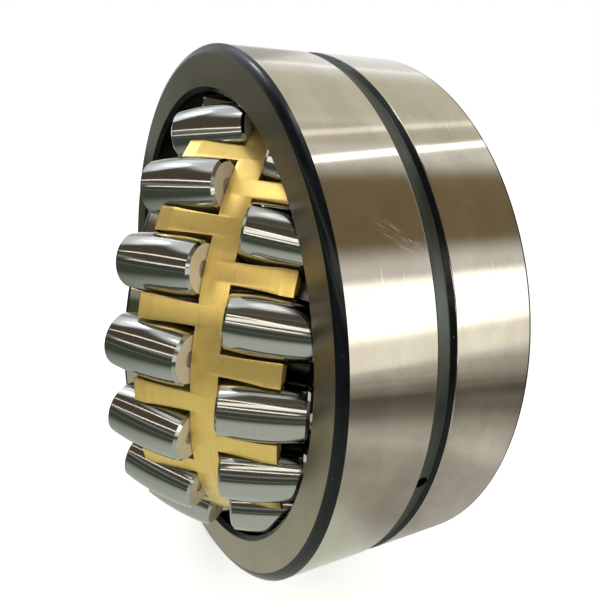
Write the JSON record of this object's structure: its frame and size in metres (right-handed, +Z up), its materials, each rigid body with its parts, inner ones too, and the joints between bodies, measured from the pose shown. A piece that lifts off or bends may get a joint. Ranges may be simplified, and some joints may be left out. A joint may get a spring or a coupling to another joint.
{
  "type": "spherical roller bearing",
  "caption": "Two-row self-aligning roller bearing: spherical outer ring, barrel rollers, one-piece brass cage and cylindrical-bore inner ring that swivels out.",
  "frame": {"origin": "centre of the spherical raceway, which is the bearing's centre", "axes": "+Y along the outer ring's axis, +Z up, the axis about which the inner assembly is swung out; +X completes the frame"},
  "size_m": [0.5399, 0.4424, 0.54],
  "materials": {
    "ring_steel": "ground",
    "guide_iron": "machined",
    "cage_brass": "machined satin",
    "roller_steel": "polished"
  },
  "bodies": {
    "outer_ring": {"outer_ring": "ring_steel"},
    "guide_ring": {"guide_ring": "guide_iron"},
    "inner_ring": {"inner_ring": "ring_steel"},
    "cage": {"cage": "cage_brass"},
    "front_roller_01": {"front_roller_01": "roller_steel"},
    "front_roller_02": {"front_roller_02": "roller_steel"},
    "front_roller_03": {"front_roller_03": "roller_steel"},
    "front_roller_04": {"front_roller_04": "roller_steel"},
    "front_roller_05": {"front_roller_05": "roller_steel"},
    "front_roller_06": {"front_roller_06": "roller_steel"},
    "front_roller_07": {"front_roller_07": "roller_steel"},
    "front_roller_08": {"front_roller_08": "roller_steel"},
    "front_roller_09": {"front_roller_09": "roller_steel"},
    "front_roller_10": {"front_roller_10": "roller_steel"},
    "front_roller_11": {"front_roller_11": "roller_steel"},
    "front_roller_12": {"front_roller_12": "roller_steel"},
    "front_roller_13": {"front_roller_13": "roller_steel"},
    "front_roller_14": {"front_roller_14": "roller_steel"},
    "front_roller_15": {"front_roller_15": "roller_steel"},
    "front_roller_16": {"front_roller_16": "roller_steel"},
    "front_roller_17": {"front_roller_17": "roller_steel"},
    "front_roller_18": {"front_roller_18": "roller_steel"},
    "front_roller_19": {"front_roller_19": "roller_steel"},
    "back_roller_01": {"back_roller_01": "roller_steel"},
    "back_roller_02": {"back_roller_02": "roller_steel"},
    "back_roller_03": {"back_roller_03": "roller_steel"},
    "back_roller_04": {"back_roller_04": "roller_steel"},
    "back_roller_05": {"back_roller_05": "roller_steel"},
    "back_roller_06": {"back_roller_06": "roller_steel"},
    "back_roller_07": {"back_roller_07": "roller_steel"},
    "back_roller_08": {"back_roller_08": "roller_steel"},
    "back_roller_09": {"back_roller_09": "roller_steel"},
    "back_roller_10": {"back_roller_10": "roller_steel"},
    "back_roller_11": {"back_roller_11": "roller_steel"},
    "back_roller_12": {"back_roller_12": "roller_steel"},
    "back_roller_13": {"back_roller_13": "roller_steel"},
    "back_roller_14": {"back_roller_14": "roller_steel"},
    "back_roller_15": {"back_roller_15": "roller_steel"},
    "back_roller_16": {"back_roller_16": "roller_steel"},
    "back_roller_17": {"back_roller_17": "roller_steel"},
    "back_roller_18": {"back_roller_18": "roller_steel"},
    "back_roller_19": {"back_roller_19": "roller_steel"}
  },
  "joints": [
    {"name": "swivel", "type": "hinge", "parent": "outer_ring", "child": "guide_ring", "pos_m": [0, 0, 0], "axis": [0, 0, 1], "range_deg": [-45.6, 134.4]},
    {"name": "inner_spin", "type": "hinge", "parent": "guide_ring", "child": "inner_ring", "pos_m": [0, 0, 0], "axis": [0.6997, 0.7145, 0], "continuous": true},
    {"name": "cage_spin", "type": "hinge", "parent": "guide_ring", "child": "cage", "pos_m": [0, 0, 0], "axis": [0.6997, 0.7145, 0], "continuous": true},
    {"name": "front_roller_01_spin", "type": "hinge", "parent": "cage", "child": "front_roller_01", "pos_m": [-0.01615, -0.05211, 0.21215], "axis": [0.7007, 0.6786, 0.22], "continuous": true},
    {"name": "front_roller_02_spin", "type": "hinge", "parent": "cage", "child": "front_roller_02", "pos_m": [0.03211, -0.09936, 0.19256], "axis": [0.7508, 0.6296, 0.1997], "continuous": true},
    {"name": "front_roller_03_spin", "type": "hinge", "parent": "cage", "child": "front_roller_03", "pos_m": [0.0732, -0.1396, 0.15211], "axis": [0.7934, 0.5879, 0.1577], "continuous": true},
    {"name": "front_roller_04_spin", "type": "hinge", "parent": "cage", "child": "front_roller_04", "pos_m": [0.10268, -0.16847, 0.09517], "axis": [0.824, 0.558, 0.0987], "continuous": true},
    {"name": "front_roller_05_spin", "type": "hinge", "parent": "cage", "child": "front_roller_05", "pos_m": [0.11736, -0.18284, 0.02792], "axis": [0.8392, 0.5431, 0.029], "continuous": true},
    {"name": "front_roller_06_spin", "type": "hinge", "parent": "cage", "child": "front_roller_06", "pos_m": [0.11564, -0.18116, -0.04236], "axis": [0.8374, 0.5448, -0.0439], "continuous": true},
    {"name": "front_roller_07_spin", "type": "hinge", "parent": "cage", "child": "front_roller_07", "pos_m": [0.0977, -0.1636, -0.10804], "axis": [0.8188, 0.563, -0.112], "continuous": true},
    {"name": "front_roller_08_spin", "type": "hinge", "parent": "cage", "child": "front_roller_08", "pos_m": [0.06551, -0.13207, -0.16202], "axis": [0.7854, 0.5957, -0.168], "continuous": true},
    {"name": "front_roller_09_spin", "type": "hinge", "parent": "cage", "child": "front_roller_09", "pos_m": [0.02253, -0.08998, -0.19844], "axis": [0.7409, 0.6394, -0.2058], "continuous": true},
    {"name": "front_roller_10_spin", "type": "hinge", "parent": "cage", "child": "front_roller_10", "pos_m": [-0.02657, -0.0419, -0.21336], "axis": [0.6899, 0.6892, -0.2213], "continuous": true},
    {"name": "front_roller_11_spin", "type": "hinge", "parent": "cage", "child": "front_roller_11", "pos_m": [-0.07646, 0.00696, -0.20515], "axis": [0.6382, 0.7399, -0.2128], "continuous": true},
    {"name": "front_roller_12_spin", "type": "hinge", "parent": "cage", "child": "front_roller_12", "pos_m": [-0.12175, 0.05131, -0.17472], "axis": [0.5912, 0.7859, -0.1812], "continuous": true},
    {"name": "front_roller_13_spin", "type": "hinge", "parent": "cage", "child": "front_roller_13", "pos_m": [-0.15753, 0.08635, -0.12535], "axis": [0.5541, 0.8222, -0.13], "continuous": true},
    {"name": "front_roller_14_spin", "type": "hinge", "parent": "cage", "child": "front_roller_14", "pos_m": [-0.17991, 0.10827, -0.0624], "axis": [0.5309, 0.845, -0.0647], "continuous": true},
    {"name": "front_roller_15_spin", "type": "hinge", "parent": "cage", "child": "front_roller_15", "pos_m": [-0.18648, 0.1147, 0.00732], "axis": [0.5241, 0.8516, 0.0076], "continuous": true},
    {"name": "front_roller_16_spin", "type": "hinge", "parent": "cage", "child": "front_roller_16", "pos_m": [-0.17652, 0.10494, 0.07624], "axis": [0.5344, 0.8415, 0.0791], "continuous": true},
    {"name": "front_roller_17_spin", "type": "hinge", "parent": "cage", "child": "front_roller_17", "pos_m": [-0.15111, 0.08006, 0.1369], "axis": [0.5608, 0.8157, 0.142], "continuous": true},
    {"name": "front_roller_18_spin", "type": "hinge", "parent": "cage", "child": "front_roller_18", "pos_m": [-0.113, 0.04274, 0.18272], "axis": [0.6003, 0.777, 0.1895], "continuous": true},
    {"name": "front_roller_19_spin", "type": "hinge", "parent": "cage", "child": "front_roller_19", "pos_m": [-0.06633, -0.00297, 0.20875], "axis": [0.6487, 0.7296, 0.2165], "continuous": true},
    {"name": "back_roller_01_spin", "type": "hinge", "parent": "cage", "child": "back_roller_01", "pos_m": [0.07646, -0.00696, 0.20515], "axis": [0.6382, 0.7399, -0.2128], "continuous": true},
    {"name": "back_roller_02_spin", "type": "hinge", "parent": "cage", "child": "back_roller_02", "pos_m": [0.12175, -0.05131, 0.17472], "axis": [0.5912, 0.7859, -0.1812], "continuous": true},
    {"name": "back_roller_03_spin", "type": "hinge", "parent": "cage", "child": "back_roller_03", "pos_m": [0.15753, -0.08635, 0.12535], "axis": [0.5541, 0.8222, -0.13], "continuous": true},
    {"name": "back_roller_04_spin", "type": "hinge", "parent": "cage", "child": "back_roller_04", "pos_m": [0.17991, -0.10827, 0.0624], "axis": [0.5309, 0.845, -0.0647], "continuous": true},
    {"name": "back_roller_05_spin", "type": "hinge", "parent": "cage", "child": "back_roller_05", "pos_m": [0.18648, -0.1147, -0.00732], "axis": [0.5241, 0.8516, 0.0076], "continuous": true},
    {"name": "back_roller_06_spin", "type": "hinge", "parent": "cage", "child": "back_roller_06", "pos_m": [0.17652, -0.10494, -0.07624], "axis": [0.5344, 0.8415, 0.0791], "continuous": true},
    {"name": "back_roller_07_spin", "type": "hinge", "parent": "cage", "child": "back_roller_07", "pos_m": [0.15111, -0.08006, -0.1369], "axis": [0.5608, 0.8157, 0.142], "continuous": true},
    {"name": "back_roller_08_spin", "type": "hinge", "parent": "cage", "child": "back_roller_08", "pos_m": [0.113, -0.04274, -0.18272], "axis": [0.6003, 0.777, 0.1895], "continuous": true},
    {"name": "back_roller_09_spin", "type": "hinge", "parent": "cage", "child": "back_roller_09", "pos_m": [0.06633, 0.00297, -0.20875], "axis": [0.6487, 0.7296, 0.2165], "continuous": true},
    {"name": "back_roller_10_spin", "type": "hinge", "parent": "cage", "child": "back_roller_10", "pos_m": [0.01615, 0.05211, -0.21215], "axis": [0.7007, 0.6786, 0.22], "continuous": true},
    {"name": "back_roller_11_spin", "type": "hinge", "parent": "cage", "child": "back_roller_11", "pos_m": [-0.03211, 0.09936, -0.19256], "axis": [0.7508, 0.6296, 0.1997], "continuous": true},
    {"name": "back_roller_12_spin", "type": "hinge", "parent": "cage", "child": "back_roller_12", "pos_m": [-0.0732, 0.1396, -0.15211], "axis": [0.7934, 0.5879, 0.1577], "continuous": true},
    {"name": "back_roller_13_spin", "type": "hinge", "parent": "cage", "child": "back_roller_13", "pos_m": [-0.10268, 0.16847, -0.09517], "axis": [0.824, 0.558, 0.0987], "continuous": true},
    {"name": "back_roller_14_spin", "type": "hinge", "parent": "cage", "child": "back_roller_14", "pos_m": [-0.11736, 0.18284, -0.02792], "axis": [0.8392, 0.5431, 0.029], "continuous": true},
    {"name": "back_roller_15_spin", "type": "hinge", "parent": "cage", "child": "back_roller_15", "pos_m": [-0.11564, 0.18116, 0.04236], "axis": [0.8374, 0.5448, -0.0439], "continuous": true},
    {"name": "back_roller_16_spin", "type": "hinge", "parent": "cage", "child": "back_roller_16", "pos_m": [-0.0977, 0.1636, 0.10804], "axis": [0.8188, 0.563, -0.112], "continuous": true},
    {"name": "back_roller_17_spin", "type": "hinge", "parent": "cage", "child": "back_roller_17", "pos_m": [-0.06551, 0.13207, 0.16202], "axis": [0.7854, 0.5957, -0.168], "continuous": true},
    {"name": "back_roller_18_spin", "type": "hinge", "parent": "cage", "child": "back_roller_18", "pos_m": [-0.02253, 0.08998, 0.19844], "axis": [0.7409, 0.6394, -0.2058], "continuous": true},
    {"name": "back_roller_19_spin", "type": "hinge", "parent": "cage", "child": "back_roller_19", "pos_m": [0.02657, 0.0419, 0.21336], "axis": [0.6899, 0.6892, -0.2213], "continuous": true}
  ],
  "couplings": [
    {"joint": "cage_spin", "follows": "inner_spin", "ratio": 0.44122},
    {"joint": "front_roller_01_spin", "follows": "inner_spin", "ratio": -4.0904},
    {"joint": "front_roller_02_spin", "follows": "inner_spin", "ratio": -4.0904},
    {"joint": "front_roller_03_spin", "follows": "inner_spin", "ratio": -4.0904},
    {"joint": "front_roller_04_spin", "follows": "inner_spin", "ratio": -4.0904},
    {"joint": "front_roller_05_spin", "follows": "inner_spin", "ratio": -4.0904},
    {"joint": "front_roller_06_spin", "follows": "inner_spin", "ratio": -4.0904},
    {"joint": "front_roller_07_spin", "follows": "inner_spin", "ratio": -4.0904},
    {"joint": "front_roller_08_spin", "follows": "inner_spin", "ratio": -4.0904},
    {"joint": "front_roller_09_spin", "follows": "inner_spin", "ratio": -4.0904},
    {"joint": "front_roller_10_spin", "follows": "inner_spin", "ratio": -4.0904},
    {"joint": "front_roller_11_spin", "follows": "inner_spin", "ratio": -4.0904},
    {"joint": "front_roller_12_spin", "follows": "inner_spin", "ratio": -4.0904},
    {"joint": "front_roller_13_spin", "follows": "inner_spin", "ratio": -4.0904},
    {"joint": "front_roller_14_spin", "follows": "inner_spin", "ratio": -4.0904},
    {"joint": "front_roller_15_spin", "follows": "inner_spin", "ratio": -4.0904},
    {"joint": "front_roller_16_spin", "follows": "inner_spin", "ratio": -4.0904},
    {"joint": "front_roller_17_spin", "follows": "inner_spin", "ratio": -4.0904},
    {"joint": "front_roller_18_spin", "follows": "inner_spin", "ratio": -4.0904},
    {"joint": "front_roller_19_spin", "follows": "inner_spin", "ratio": -4.0904},
    {"joint": "back_roller_01_spin", "follows": "inner_spin", "ratio": -4.0904},
    {"joint": "back_roller_02_spin", "follows": "inner_spin", "ratio": -4.0904},
    {"joint": "back_roller_03_spin", "follows": "inner_spin", "ratio": -4.0904},
    {"joint": "back_roller_04_spin", "follows": "inner_spin", "ratio": -4.0904},
    {"joint": "back_roller_05_spin", "follows": "inner_spin", "ratio": -4.0904},
    {"joint": "back_roller_06_spin", "follows": "inner_spin", "ratio": -4.0904},
    {"joint": "back_roller_07_spin", "follows": "inner_spin", "ratio": -4.0904},
    {"joint": "back_roller_08_spin", "follows": "inner_spin", "ratio": -4.0904},
    {"joint": "back_roller_09_spin", "follows": "inner_spin", "ratio": -4.0904},
    {"joint": "back_roller_10_spin", "follows": "inner_spin", "ratio": -4.0904},
    {"joint": "back_roller_11_spin", "follows": "inner_spin", "ratio": -4.0904},
    {"joint": "back_roller_12_spin", "follows": "inner_spin", "ratio": -4.0904},
    {"joint": "back_roller_13_spin", "follows": "inner_spin", "ratio": -4.0904},
    {"joint": "back_roller_14_spin", "follows": "inner_spin", "ratio": -4.0904},
    {"joint": "back_roller_15_spin", "follows": "inner_spin", "ratio": -4.0904},
    {"joint": "back_roller_16_spin", "follows": "inner_spin", "ratio": -4.0904},
    {"joint": "back_roller_17_spin", "follows": "inner_spin", "ratio": -4.0904},
    {"joint": "back_roller_18_spin", "follows": "inner_spin", "ratio": -4.0904},
    {"joint": "back_roller_19_spin", "follows": "inner_spin", "ratio": -4.0904}
  ]
}
